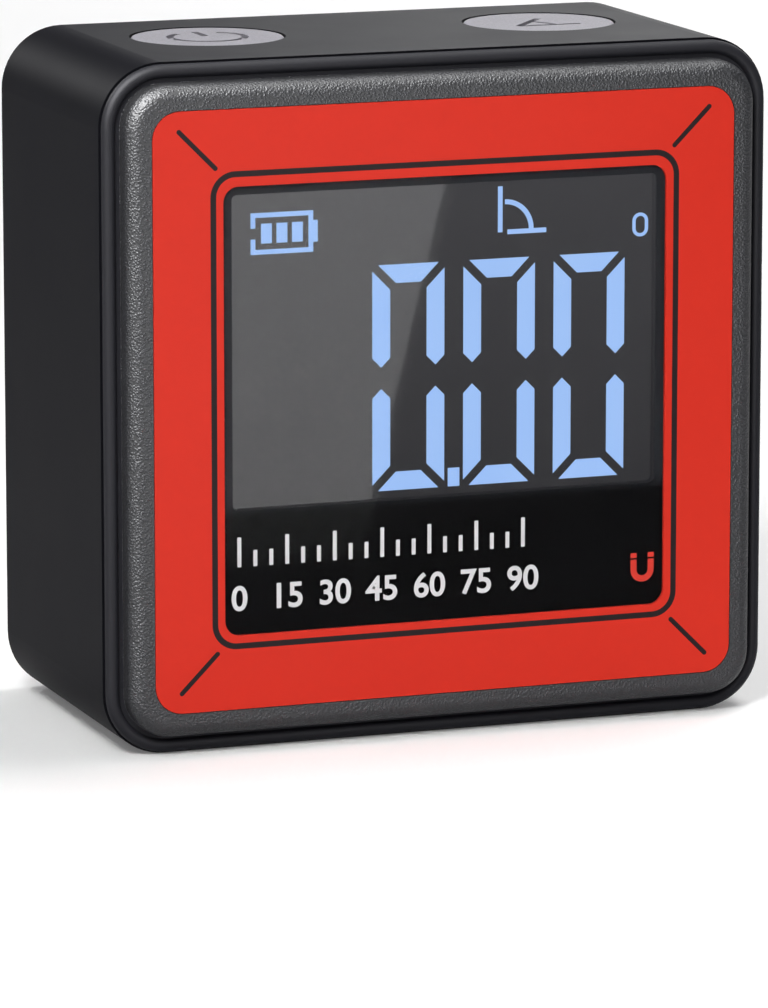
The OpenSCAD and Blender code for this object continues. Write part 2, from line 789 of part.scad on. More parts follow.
// Elastic contact strip between the glass and the main board
module contact_strip() color("#b8798a") {
    slab(glass_front + glass_t, holder_back)
        band(strip_w, strip_bottom + holder_gap, strip_bottom + holder_gap + strip_h);
}

/* Main board */

// Main circuit board, notched round the case bosses
module main_board() color("#1f5a3a") {
    notch = screw_inset - board_inset + boss_r + board_gap;
    difference() {
        slab(holder_back, board_back) band(body_w - 2 * board_inset, board_inset, body_h - board_inset);
        slab(holder_back - eps, board_back + eps) {
            for (side = [-1, 1], up = [-1, 1])
                translate([side * (body_w / 2 - board_inset), face_z + up * (body_h / 2 - board_inset)])
                    square(2 * notch, center = true);
            at_board_screws() circle(board_screw_d / 2 + 2 * screw_gap);
        }
    }
}

// Four short screws that fix the main board to the bezel
module board_screws() color("#9a9ca0") {
    slab(holder_back - board_screw_l, board_back + eps) at_board_screws() circle(board_screw_d / 2);
    slab(board_back, board_back + board_screw_head_t) at_board_screws() circle(board_screw_head_d / 2);
}

// A flat chip on the back of the main board, with its pin-one dimple
module chip(x, w, thick) {
    corner = w / 3;
    difference() {
        slab(board_back, board_back + thick) translate([x, chip_z]) square(w, center = true);
        slab(board_back + thick - dimple_t, board_back + thick + eps)
            translate([x - corner, chip_z + corner]) circle(w / 14);
    }
}

// Controller that reads the sensor and drives the display
module controller_chip() color("#17171a") chip(-chip_x, chip_w, chip_t);

// Tilt sensor
module tilt_sensor() color("#2c2c30") chip(chip_x, sensor_w, sensor_t);

// Foam pad between the battery and the main board
module battery_pad() color("#3a3a3a") {
    slab(board_back, board_back + pad_t)
        band(battery_w - 2 * pad_inset, battery_bottom + pad_inset, battery_top - pad_inset);
}

// Flat rechargeable cell
module battery_cell() color("#b9bcc2") {
    slab(board_back + pad_t, board_back + pad_t + battery_t) translate([0, battery_z])
        rounded(battery_w, battery_h, battery_r);
}

/* Buttons */

// Board under the buttons, slid into the rails
module button_board() color("#1f5a3a") {
    slab(key_board_front, key_board_back)
        band(body_w - 2 * (case_wall + key_board_gap), key_board_z, key_board_top);
}

// Pin block that joins the main board to the button board
module board_header() color("#1b1b1e") {
    slab(board_back, key_board_front + header_reach) band(header_w, header_bottom, key_board_z);
}

// Push switch with a well for its plunger
module push_switch(side) {
    well_bottom = plunger_bottom - button_travel - flange_gap;
    at_button(side) difference() {
        translate([-switch_w / 2, -switch_w / 2, key_board_top]) cube([switch_w, switch_w, switch_h]);
        translate([0, 0, well_bottom]) cylinder(r = plunger_d / 2 + plunger_gap, h = switch_h);
    }
}

module power_switch() color("#2b2b2e") push_switch(-1);

module mode_switch() color("#2b2b2e") push_switch(1);

// Plunger that a button pushes into its switch
module plunger(side) {
    at_button(side) translate([0, 0, plunger_bottom]) cylinder(d = plunger_d, h = plunger_l);
}

module power_plunger() color("#e8e6e0") plunger(-1);

module mode_plunger() color("#e8e6e0") plunger(1);

// Button turned from one profile: stem, flange, cap and chamfered edge
module push_button(side) {
    cap_r = button_d / 2;
    stem_r = plunger_d / 2;
    at_button(side) rotate_extrude() polygon([
        [0, plunger_top], [stem_r, plunger_top], [stem_r, flange_bottom], [flange_r, flange_bottom],
        [flange_r, flange_top], [cap_r, flange_top], [cap_r, button_top - button_edge],
        [cap_r - button_edge, button_top], [0, button_top]
    ]);
}

module power_button() color("#b9b7bd") push_button(-1);

module mode_button() color("#b9b7bd") push_button(1);

/* Charging socket */

// Small board that carries the charging socket, held on two pegs
module charge_board() color("#1f5a3a") {
    half = peg_x + peg_margin;
    difference() {
        translate([-half, front_y + charge_front, charge_z])
            cube([2 * half, charge_end - charge_front, charge_board_t]);
        for (side = [-1, 1]) translate([side * peg_x, front_y + peg_back, charge_z - eps])
            cylinder(r = pin_d / 2 + screw_gap, h = charge_board_t + 2 * eps);
    }
}

// Outline of the socket, moved inwards
module socket_outline(inset) {
    translate([0, socket_z]) rounded(socket_w - 2 * inset, socket_h - 2 * inset, socket_h / 2 - inset - eps);
}

// Metal shell of the charging socket
module socket_shell() color("#c9ccd1") {
    slab(socket_front, socket_end) difference() {
        socket_outline(0);
        socket_outline(socket_wall);
    }
}

// Insulator of the socket: a plug at the back and the tongue with the contacts
module socket_tongue() color("#141416") {
    slab(socket_front, socket_front + plug_t) socket_outline(socket_wall + 2 * eps);
    slab(socket_front + plug_t - eps, socket_end - tongue_recess) translate([0, socket_z])
        square([tongue_w, tongue_t], center = true);
}

/* Base */

// Two disc magnets, glued into the base just short of its face
module base_magnets() color("#b4b6ba") {
    for (side = [-1, 1]) translate([side * magnet_x, 0, magnet_recess]) cylinder(d = magnet_d, h = magnet_t);
}

body_frame();
front_bezel();
rear_cover();
case_screws();
face_panel();
panel_lines();
display_lens();
lens_border();
display_glass();
display_segments();
backlight_plate();
display_holder();
contact_strip();
main_board();
board_screws();
controller_chip();
tilt_sensor();
battery_pad();
battery_cell();
button_board();
board_header();
power_switch();
mode_switch();
power_plunger();
mode_plunger();
power_button();
mode_button();
charge_board();
socket_shell();
socket_tongue();
base_magnets();
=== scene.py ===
# %% [markdown]
# # A pocket digital angle gauge, dressed for its picture
#
# The gauge is already built as solid pieces at their real size. This lesson gives those pieces
# their finish, and models what is too fine for the solids: the signs engraved in the two buttons
# and the print on the window. The loaded solids are never moved, so whatever we add goes where
# they are.

import math

import bpy
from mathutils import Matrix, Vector


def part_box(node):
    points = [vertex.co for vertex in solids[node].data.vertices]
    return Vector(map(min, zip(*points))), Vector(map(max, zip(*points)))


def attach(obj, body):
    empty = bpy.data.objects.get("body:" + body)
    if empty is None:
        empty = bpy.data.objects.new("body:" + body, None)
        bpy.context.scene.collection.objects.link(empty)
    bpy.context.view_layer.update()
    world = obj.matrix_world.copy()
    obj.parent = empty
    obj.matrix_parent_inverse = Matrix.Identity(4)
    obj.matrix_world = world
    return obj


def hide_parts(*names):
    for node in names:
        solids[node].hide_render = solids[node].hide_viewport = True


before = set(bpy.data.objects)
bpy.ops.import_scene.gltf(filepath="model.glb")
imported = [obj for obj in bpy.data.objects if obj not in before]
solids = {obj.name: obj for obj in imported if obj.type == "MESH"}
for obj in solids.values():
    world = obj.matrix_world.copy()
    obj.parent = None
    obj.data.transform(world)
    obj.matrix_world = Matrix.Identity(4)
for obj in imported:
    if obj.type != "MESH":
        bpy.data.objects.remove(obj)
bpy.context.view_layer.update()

# %% [markdown]
# ## A few helpers
#
# Blender works in metres, and a gauge is easier to describe in millimetres, so `MM` converts.
# Colours are written as the sRGB hex values that a colour picker shows, and a shader wants linear
# light, so one function converts those. Another adds a node with its settings and its links, which
# keeps each finish readable from top to bottom.

# %% Units, colours and nodes
MM = 0.001


def linear(hex_colour):
    """The linear RGBA of an sRGB colour such as #d8362a."""
    channels = [int(hex_colour[i:i + 2], 16) / 255 for i in (1, 3, 5)]
    return [c / 12.92 if c <= 0.04045 else ((c + 0.055) / 1.055) ** 2.4 for c in channels] + [1.0]


def add(tree, kind, settings=None, inputs=None, outputs=None):
    """Adds one shader node: its settings, its inputs as values or links, and what its outputs feed."""
    node = tree.nodes.new("ShaderNode" + kind)
    for name, value in (settings or {}).items():
        setattr(node, name, value)
    for socket, value in (inputs or {}).items():
        if isinstance(value, bpy.types.NodeSocket):
            tree.links.new(value, node.inputs[socket])
        else:
            node.inputs[socket].default_value = value
    for socket, target in (outputs or {}).items():
        tree.links.new(node.outputs[socket], target)
    return node


def per_mm(size_mm):
    """Texture scale for a pattern whose repeat has this size."""
    return 1 / (size_mm * MM)


print("texture scale of a 1 mm pattern:", per_mm(1))

# %% [markdown]
# ## Where we look from
#
# The camera stands to the left of the gauge, a little above it and half a metre away, with a long
# lens. A long lens keeps the edges nearly parallel, as a product picture does. The place was found
# by fitting the case's straight edges, so the picture's frame needs no shift.

# %% Camera
view_yaw = math.radians(20.118)
view_pitch = math.radians(11.017)
view_target = Vector((-0.869, -2.337, 15.6)) * MM
view_distance = 499.68 * MM
picture_height_px = 1008
focal_px = 6639.15
sensor_mm = 36

forward = Vector((
    math.sin(view_yaw) * math.cos(view_pitch),
    math.cos(view_yaw) * math.cos(view_pitch),
    -math.sin(view_pitch),
))
bpy.ops.object.select_all(action="DESELECT")
bpy.ops.object.camera_add(
    location=view_target - forward * view_distance,
    rotation=(math.pi / 2 - view_pitch, 0, -view_yaw),
)
camera = bpy.context.object
camera.name = "picture_camera"
camera.data.sensor_fit = "VERTICAL"
camera.data.sensor_height = sensor_mm
camera.data.lens = focal_px * sensor_mm / picture_height_px
bpy.context.scene.camera = camera
print("lens:", round(camera.data.lens, 1), "mm")

# %% [markdown]
# ## Floor
#
# A sheet of white paper carries the shadow. A plane is all that it needs, and it is so large that
# no view finds its edge. More lamps would make it whiter, and the gauge too pale. So the paper has
# a faint glow that only the camera and mirror images see, which lights nothing.
#
# The paper is our first finish. Each finish starts from the standard shader, and soft patches of a
# real size keep its colour from being quite even.

# %% Start of a finish
def start_finish(name, **sockets):
    """A new material, with values set on its shader, and the object coordinates to pattern it by."""
    finish = bpy.data.materials.new(name)
    finish.use_nodes = True
    tree = finish.node_tree
    shader = tree.nodes["Principled BSDF"]
    for socket, value in sockets.items():
        shader.inputs[socket.replace("_", " ")].default_value = value
    return finish, tree, shader, add(tree, "TexCoord").outputs["Object"]


paper, tree, shader, place = start_finish(
    "white_studio_paper", Roughness=0.9, Specular_IOR_Level=0.1, Emission_Color=linear("#ffffff"))
print("first finish:", paper.name)


# %% Soft patches
def mottle(tree, place, target, patch_mm, dark, light, detail=3.0):
    """Drives a colour by soft patches of a real size, and gives the patches for other uses."""
    patches = add(tree, "TexNoise", None, {"Vector": place, "Scale": per_mm(patch_mm), "Detail": detail})
    add(tree, "Mix", {"data_type": "RGBA"}, {
        0: patches.outputs["Fac"], 6: linear(dark), 7: linear(light)}, {2: target})
    return patches.outputs["Fac"]


cloud_mm = 40
mottle(tree, place, shader.inputs["Base Color"], cloud_mm, "#f5f4f3", "#f7f6f5")
print("paper clouds:", cloud_mm, "mm")

# %% Glow of the paper
paper_glow = 0.12
ray = add(tree, "LightPath").outputs
mirrored = add(tree, "Math", {"operation": "MAXIMUM"}, {
    0: ray["Is Glossy Ray"], 1: ray["Is Transmission Ray"]})
seen = add(tree, "Math", {"operation": "MAXIMUM"}, {0: ray["Is Camera Ray"], 1: mirrored.outputs[0]})
add(tree, "Math", {"operation": "MULTIPLY"}, {0: seen.outputs[0], 1: paper_glow}, {
    0: shader.inputs["Emission Strength"]})
print("paper glow:", paper_glow)

# %% Floor
floor_m = 6.0
bpy.ops.object.select_all(action="DESELECT")
bpy.ops.mesh.primitive_plane_add(size=floor_m)
floor = bpy.context.object
floor.name = "studio_floor"
floor.data.materials.append(paper)
print("floor:", floor_m, "m")

# %% [markdown]
# ## Light
#
# The key lamp hangs in front, above and to the left, so the top left of the rim catches most light.
# The overhead lamp fills in from above, and a third one behind on the right gives the top face its
# slow gradient. The world is a dim grey, so black plastic stays black.
#
# Four more lamps light nothing and are only mirrored. One puts the glint on the top left corner of
# the rim, one draws the line along the top of the lip, and one the soft band on the round top left
# edge of the case. The fourth is a leaning card in front of the display, whose slanted edge shows in
# the glass.

# %% World
world = bpy.data.worlds.new("dim_studio")
bpy.context.scene.world = world
world.use_nodes = True
sky = world.node_tree.nodes["Background"].inputs
sky["Color"].default_value = linear("#c9ccd2")
sky["Strength"].default_value = 0.3
bpy.context.scene.view_settings.view_transform = "Standard"
print("world:", world.name)


# %% Lamps
def soft_lamp(name, at_mm, turn, size_mm, watts):
    """A rectangular softbox that the camera doesn't see."""
    bpy.ops.object.light_add(type="AREA", location=Vector(at_mm) * MM, rotation=turn)
    lamp = bpy.context.object
    lamp.name = name
    lamp.data.shape = "RECTANGLE"
    lamp.data.size = size_mm[0] * MM
    lamp.data.size_y = size_mm[1] * MM
    lamp.data.energy = watts
    lamp.visible_camera = False
    print(name, "at", at_mm)
    return lamp


def aimed(at_mm, aim_mm=(0, 0, 25)):
    """The turn that points a lamp at a place, or else at the middle of the gauge."""
    return (Vector(aim_mm) - Vector(at_mm)).to_track_quat("-Z", "Y").to_euler()


key_at = (-200, -260, 330)
overhead_at = (280, 80, 860)
back_at = (480, 717, 300)
soft_lamp("key_softbox", key_at, aimed(key_at), (120, 120), 1.2)
soft_lamp("overhead_softbox", overhead_at, aimed(overhead_at), (400, 400), 4.1)
soft_lamp("back_softbox", back_at, aimed(back_at), (500, 300), 2.13)


# %% Glint on the rim
def mirrored_lamp(name, at_mm, turn, size_mm, watts):
    """A softbox that shows only in mirror images and highlights."""
    soft_lamp(name, at_mm, turn, size_mm, watts).visible_diffuse = False


rim_corner = (-24, -13, 49)
glint_at = (-140, -115, 205)
mirrored_lamp("rim_glint", glint_at, aimed(glint_at, rim_corner), (240, 240), 6)

# %% Bright ceiling that the lip mirrors
ceiling_at = (320, 40, 850)
mirrored_lamp("mirrored_ceiling", ceiling_at, aimed(ceiling_at), (800, 800), 4.6)

# %% Bright wall that the round edge of the case mirrors
wall_at = (-330, 632, 350)
mirrored_lamp("mirrored_wall", wall_at, aimed(wall_at), (250, 250), 3.2)

# %% Card that the display mirrors
card_at = (7.1, -80, 19.7)
card_lean = math.radians(14.1)
mirrored_lamp("mirrored_card", card_at, (math.pi / 2, card_lean, 0), (30, 60), 0.029)

# %% [markdown]
# ## Satin black case
#
# The case ring is injection-moulded ABS. The mould was spark-eroded, which leaves a very fine matt
# texture, so the plastic shows broad soft highlights and no sharp mirror images. Broad patches move
# the tone and the roughness a little, and a finer noise gives the bump.

# %% Tone and gloss of the case
def cloud(tree, shader, place, patch_mm, dark, light, smooth, rough, detail=3.0):
    """Lets soft patches move a finish's tone and roughness, and gives the patches for other uses."""
    patches = mottle(tree, place, shader.inputs["Base Color"], patch_mm, dark, light, detail)
    add(tree, "MapRange", None, {"Value": patches, "To Min": smooth, "To Max": rough}, {
        0: shader.inputs["Roughness"]})
    return patches


satin_abs, tree, shader, place = start_finish("satin_moulded_abs", IOR=1.52, Specular_IOR_Level=0.015)
cloud(tree, shader, place, 9, "#101014", "#141419", 0.46, 0.54)
print("case finish:", satin_abs.name)


# %% Texture of the case
def coat(piece, finish):
    """Gives a piece one finish."""
    piece.data.materials.clear()
    piece.data.materials.append(finish)


def dress(finish, *names):
    """Puts a finish on loaded solids."""
    for name in names:
        coat(solids[name], finish)
    print(finish.name, "on", ", ".join(names))


# Spark erosion leaves pits of about 0.05 mm. They are drawn at 0.16 mm, so that they show at all.
pits = add(tree, "TexNoise", None, {"Vector": place, "Scale": per_mm(0.16), "Detail": 2.0})
add(tree, "Bump", None, {"Height": pits.outputs["Fac"], "Distance": 0.02 * MM, "Strength": 0.12}, {
    0: shader.inputs["Normal"]})
dress(satin_abs, "body_frame")

# %% [markdown]
# ## Matt back
#
# The cover in the back came from a mould with a coarser texture than the case, as hidden covers
# often do. It is the same recipe with larger pits and a duller surface.

# %% Cover finish
matt_abs, tree, shader, place = start_finish("coarse_moulded_abs", IOR=1.52, Specular_IOR_Level=0.12)
cloud(tree, shader, place, 6, "#161619", "#1b1b1e", 0.55, 0.68)
# Pits of a coarse spark-eroded mould, 0.3 mm across.
pits = add(tree, "TexVoronoi", {"feature": "SMOOTH_F1"}, {
    "Vector": place, "Scale": per_mm(0.3), "Smoothness": 0.6})
add(tree, "Bump", None, {"Height": pits.outputs["Distance"], "Distance": 0.05 * MM, "Strength": 0.5}, {
    0: shader.inputs["Normal"]})
dress(matt_abs, "rear_cover")

# %% [markdown]
# ## Bezel with a grained shoulder
#
# The front frame is one moulding with two textures. The lip beside the seam is as smooth as the
# case. The shoulder and the flat in front of it carry a fine leather grain, which scatters light and
# looks grey. The mask needs no painting. The case is a rectangle with round corners, so a few vector
# nodes give each point's distance from the corner's axis, and the grain keeps to one range of it.

# %% Where the bezel is grained
case_low, case_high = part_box("body_frame")
case_middle = (case_low + case_high) / 2
corner_r = 4.7 * MM
grain_from = 1.45 * MM
grain_to = 3.6 * MM
straight = Vector((case_high.x - case_middle.x - corner_r, 0, case_high.z - case_middle.z - corner_r))
grained_abs, tree, shader, place = start_finish("grained_moulded_abs", IOR=1.52)
from_middle = add(tree, "VectorMath", {"operation": "SUBTRACT"}, {0: place, 1: case_middle})
seen_flat = add(tree, "VectorMath", {"operation": "MULTIPLY"}, {0: from_middle.outputs[0], 1: (1, 0, 1)})
one_corner = add(tree, "VectorMath", {"operation": "ABSOLUTE"}, {0: seen_flat.outputs[0]})
past_straight = add(tree, "VectorMath", {"operation": "SUBTRACT"}, {0: one_corner.outputs[0], 1: straight})
outwards = add(tree, "VectorMath", {"operation": "MAXIMUM"}, {0: past_straight.outputs[0], 1: (0, 0, 0)})
from_axis = add(tree, "VectorMath", {"operation": "LENGTH"}, {0: outwards.outputs[0]})
grained = add(tree, "Math", {"operation": "COMPARE"}, {
    0: from_axis.outputs["Value"],
    1: corner_r - (grain_from + grain_to) / 2,
    2: (grain_to - grain_from) / 2})
print("grain from", grain_from / MM, "to", grain_to / MM, "mm inside the case's side")

# %% Bezel grain
# Leather grain has pebbles of about 0.15 mm here. They are drawn at 0.17 mm, so that they show.
grain_mm = 0.17
warp = add(tree, "TexNoise", None, {"Vector": place, "Scale": per_mm(2 * grain_mm), "Detail": 1.0})
bend = [0.8 * grain_mm * MM] * 3
shift = add(tree, "VectorMath", {"operation": "MULTIPLY_ADD"}, {
    0: warp.outputs["Color"], 1: bend, 2: place})
pebbles = add(tree, "TexVoronoi", {"feature": "SMOOTH_F1"}, {
    "Vector": shift.outputs[0], "Scale": per_mm(grain_mm), "Smoothness": 0.3})
hills = add(tree, "MapRange", None, {
    "Value": pebbles.outputs["Distance"], "From Max": 0.7, "To Min": 1.0, "To Max": 0.0})
height = add(tree, "Math", {"operation": "MULTIPLY"}, {0: hills.outputs[0], 1: grained.outputs[0]})
add(tree, "Bump", None, {"Height": height.outputs[0], "Distance": 0.055 * MM, "Strength": 0.75}, {
    0: shader.inputs["Normal"]})
print("grain:", grain_mm, "mm")

# %% Bezel tone and gloss
# Painted light and shade: the tops of the grain's pebbles are painted lighter and the hollows between them
# darker.
grain_painted_light_and_shade = add(tree, "Mix", {"data_type": "RGBA"}, {
    0: hills.outputs[0], 6: linear("#101116"), 7: linear("#1f2027")})
add(tree, "Mix", {"data_type": "RGBA"}, {
    0: grained.outputs[0], 6: linear("#19191f"), 7: grain_painted_light_and_shade.outputs[2]}, {
    2: shader.inputs["Base Color"]})
for socket, lip, grain in (("Roughness", 0.55, 0.47), ("Specular IOR Level", 0.12, 0.4)):
    add(tree, "MapRange", None, {"Value": grained.outputs[0], "To Min": lip, "To Max": grain}, {
        0: shader.inputs[socket]})
dress(grained_abs, "front_bezel")

# %% [markdown]
# ## Red panel
#
# The red face is a polycarbonate sheet with a satin front. Its colour is printed on the back, so it
# is nearly even. Broad patches move its gloss a little, and the velvet of the front is a faint bump.

# %% Panel finish
red_panel, tree, shader, place = start_finish(
    "satin_red_polycarbonate", IOR=1.58, Specular_IOR_Level=0.05)
cloud(tree, shader, place, 14, "#d92f20", "#dc3323", 0.42, 0.5, 2.0)
# The velvet is about 0.03 mm fine, and is drawn at 0.14 mm.
velvet = add(tree, "TexNoise", None, {"Vector": place, "Scale": per_mm(0.14), "Detail": 1.0})
add(tree, "Bump", None, {"Height": velvet.outputs["Fac"], "Distance": 0.01 * MM, "Strength": 0.1}, {
    0: shader.inputs["Normal"]})
dress(red_panel, "face_panel")

# %% [markdown]
# ## Black lines on the panel
#
# The outline and the four corner strokes are screen-printed ink. Thick ink dries with a faint orange
# peel, so the black gets a soft bump and never quite the same tone.

# %% Line finish
line_ink, tree, shader, place = start_finish("black_line_ink", Specular_IOR_Level=0.08)
patches = cloud(tree, shader, place, 1.2, "#1b1416", "#231a1c", 0.5, 0.62)
add(tree, "Bump", None, {"Height": patches, "Distance": 0.01 * MM, "Strength": 0.2}, {
    0: shader.inputs["Normal"]})
dress(line_ink, "panel_lines")

# %% [markdown]
# ## Window
#
# The window is a thin sheet of clear acrylic, coated against glare, so it has almost no mirror image
# of its own. Refraction through a quarter of a millimetre can't be seen, and it would keep the lamps
# off what lies behind. So the sheet is a very low opacity, with smears from fingers as slightly
# hazier patches.

# %% Window finish
clear_acrylic, tree, shader, place = start_finish(
    "clear_coated_acrylic", IOR=1.49, Roughness=0.05, Base_Color=linear("#0c0c0e"))
smears = add(tree, "TexNoise", None, {"Vector": place, "Scale": per_mm(11), "Detail": 4.0})
add(tree, "MapRange", None, {"Value": smears.outputs["Fac"], "To Min": 0.02, "To Max": 0.05}, {
    0: shader.inputs["Alpha"]})
dress(clear_acrylic, "display_lens")

# %% [markdown]
# ## Black border behind the window
#
# The border is black ink on the back of the window, seen through the sheet. Below the display it is
# a solid black field. The narrow strips round the display catch light from its edges, and that light
# is painted: above the height where the display starts, the ink is painted a dark grey.

# %% Border finish
def climb(tree, place, low, high):
    """A pattern that is 0 below one height and 1 above another, and rises evenly between them."""
    up = add(tree, "SeparateXYZ", None, {0: place}).outputs["Z"]
    return add(tree, "MapRange", None, {"Value": up, "From Min": low, "From Max": high}).outputs[0]


field_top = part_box("display_segments")[0].z
fade_h = 1.2 * MM
border_ink, tree, shader, place = start_finish("black_border_ink", Specular_IOR_Level=0.02)
cloud(tree, shader, place, 5, "#030304", "#060607", 0.42, 0.55)
field_tone = shader.inputs["Base Color"].links[0].from_socket
# Painted light: above the display's lower edge, the strips get a dark grey for the light they catch from
# the display.
painted_light_strips = climb(tree, place, field_top - fade_h, field_top)
add(tree, "Mix", {"data_type": "RGBA"}, {0: painted_light_strips, 6: field_tone, 7: linear("#292b2f")}, {
    2: shader.inputs["Base Color"]})
dress(border_ink, "lens_border")

# %% [markdown]
# ## Display
#
# The display is of the kind with light figures on a dark ground. The dark ground glows faintly,
# and is painted brighter towards the top. The glow stands partly for a little backlight that leaks
# through, and partly it is painted reflection of the pale surroundings. The polished glass mirrors
# what stands in front of it too. The figures are the openings: they show the backlight at full strength.

# %% Display finish
dark_glass, tree, shader, place = start_finish(
    "polished_display_glass", IOR=1.5, Specular_IOR_Level=0.15, Roughness=0.03, Emission_Strength=1.0)
glass_low, glass_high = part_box("display_glass")
# Painted glow: the dark ground's emission is partly painted reflection, and it is painted brighter towards
# the top.
rise = climb(tree, place, glass_low.z, glass_high.z)
add(tree, "Mix", {"data_type": "RGBA"}, {0: rise, 6: linear("#222225"), 7: linear("#3a3a3d")}, {
    2: shader.inputs["Emission Color"]})
mottle(tree, place, shader.inputs["Base Color"], 3, "#060607", "#0a0a0b")
dress(dark_glass, "display_glass")

# %% Lit figures
figure_light, tree, shader, place = start_finish(
    "backlit_display_figures", Roughness=0.5, Specular_IOR_Level=0.0, Emission_Strength=1.0,
    Base_Color=linear("#000000"))
mottle(tree, place, shader.inputs["Emission Color"], 7, "#9dc3fd", "#abcdff", 1.0)
dress(figure_light, "display_segments")

# %% [markdown]
# ## Engraved button caps
#
# The two caps are moulded, painted silver, and carry a sign cut into the top: a power ring on the
# left one and an angle on the right one. A dark decal would look flat, so the signs are real grooves.
# Each cap is a copy of the solid's mesh. An arc for the cutter is a small upright plane that spin
# sweeps round, and a straight stroke is a plane that extrude lengthens. A Boolean takes them away.

# %% Copies of the buttons
def pick(*pieces):
    """Selects pieces and nothing else, with the first one active."""
    bpy.ops.object.select_all(action="DESELECT")
    for piece in pieces:
        piece.select_set(True)
    bpy.context.view_layer.objects.active = pieces[0]


def copy_solid(node, name):
    """A new piece with a copy of a loaded solid's mesh, its loose triangles merged."""
    piece = bpy.data.objects.new(name, solids[node].data.copy())
    bpy.context.scene.collection.objects.link(piece)
    pick(piece)
    bpy.ops.mesh.customdata_custom_splitnormals_clear()
    bpy.ops.object.mode_set(mode="EDIT")
    bpy.ops.mesh.select_all(action="SELECT")
    bpy.ops.mesh.remove_doubles(threshold=0.001 * MM)
    bpy.ops.object.mode_set(mode="OBJECT")
    print(name, "faces:", len(piece.data.polygons))
    return piece


power_cap = copy_solid("power_button", "power_cap")
mode_cap = copy_solid("mode_button", "mode_cap")


# %% Planes to draw strokes from
def open_plane(at, turn, width, depth):
    """A plane with its place and its turn in its mesh, open in edit mode."""
    bpy.ops.object.select_all(action="DESELECT")
    bpy.ops.mesh.primitive_plane_add(size=1, location=at, rotation=turn)
    piece = bpy.context.object
    piece.scale = (width, depth, 1)
    bpy.ops.object.transform_apply(location=True, rotation=True, scale=True)
    bpy.ops.object.mode_set(mode="EDIT")
    bpy.ops.mesh.select_all(action="SELECT")
    return piece


def upright_plane(at, bearing, width, height):
    """A plane that stands on edge, with its width along a bearing, open in edit mode."""
    return open_plane(at, (math.pi / 2, 0, bearing), width, height)


groove_w = 0.55 * MM
groove_deep = 0.28 * MM
groove = (groove_w, 2 * groove_deep)
print("groove:", groove_w / MM, "by", groove_deep / MM, "mm")


# %% Strokes
arc_steps = 40


def close_stroke():
    """Closes the ends of the stroke in edit mode, turns its faces outwards and leaves edit mode."""
    bpy.ops.mesh.select_all(action="SELECT")
    bpy.ops.mesh.remove_doubles(threshold=0.0001 * MM)
    bpy.ops.mesh.fill_holes(sides=4)
    bpy.ops.mesh.select_all(action="SELECT")
    bpy.ops.mesh.normals_make_consistent(inside=False)
    bpy.ops.object.mode_set(mode="OBJECT")


def draw_out(shift):
    """Extrudes the plane in edit mode into a bar and closes it."""
    bpy.ops.mesh.extrude_region_move(TRANSFORM_OT_translate={"value": shift})
    close_stroke()


def arc_stroke(middle, radius, start, sweep, width, height):
    """A bar bent round an upright axis, from one bearing over a sweep."""
    at = middle + Vector((math.cos(start), math.sin(start), 0)) * radius
    stroke = upright_plane(at, start, width, height)
    # Spin turns clockwise for a positive angle, so the sweep is turned round.
    bpy.ops.mesh.spin(steps=arc_steps, angle=-sweep, center=middle, axis=(0, 0, 1))
    close_stroke()
    return stroke


def straight_stroke(start, bearing, length, width, height):
    """A straight bar from a point along a bearing."""
    along = Vector((math.cos(bearing), math.sin(bearing), 0))
    stroke = upright_plane(start, bearing - math.pi / 2, width, height)
    draw_out(along * length)
    return stroke


print("steps in an arc:", arc_steps)


# %% Engraving of the power cap
def engrave(piece, strokes):
    """Cuts strokes into a piece, one after the other, and smooths its shading."""
    pick(piece)
    for stroke in strokes:
        cut = piece.modifiers.new("engraving", "BOOLEAN")
        cut.operation = "DIFFERENCE"
        cut.solver = "EXACT"
        cut.object = stroke
        bpy.ops.object.modifier_apply(modifier=cut.name)
        bpy.data.objects.remove(stroke, do_unlink=True)
    bpy.ops.object.shade_smooth_by_angle(angle=math.radians(30))
    print(piece.name, "faces:", len(piece.data.polygons))


def top_middle(node):
    """The middle of a solid's top face."""
    low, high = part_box(node)
    return Vector(((low.x + high.x) / 2, (low.y + high.y) / 2, high.z))


ring_r = 2.8 * MM
ring_gap = math.radians(64)
bar_from = 0.5 * MM
bar_l = 2.7 * MM
to_back = math.pi / 2
middle = top_middle("power_button")
engrave(power_cap, [
    arc_stroke(middle, ring_r, to_back + ring_gap / 2, 2 * math.pi - ring_gap, *groove),
    straight_stroke(middle + Vector((0, bar_from, 0)), to_back, bar_l, *groove),
])

# %% Engraving of the mode cap
arm_l = 5.0 * MM
arm_angle = math.radians(52)
mark_r = 2.9 * MM
corner_left = 2.3 * MM
corner_front = 1.8 * MM
corner = top_middle("mode_button") - Vector((corner_left, corner_front, 0))
engrave(mode_cap, [
    straight_stroke(corner, 0, arm_l, *groove),
    straight_stroke(corner, arm_angle, arm_l, *groove),
    arc_stroke(corner, mark_r, 0, arm_angle, *groove),
])

# %% [markdown]
# ## Silver paint
#
# The caps are sprayed with a silver lacquer. Its metal flakes are tiny and lie at random, so the
# paint looks like a pale, slightly sparkling grey and not like a mirror. A cell pattern gives each
# flake its own tone.

# %% Cap finish
silver_paint, tree, shader, place = start_finish("silver_sprayed_abs", IOR=1.5, Specular_IOR_Level=0.03)
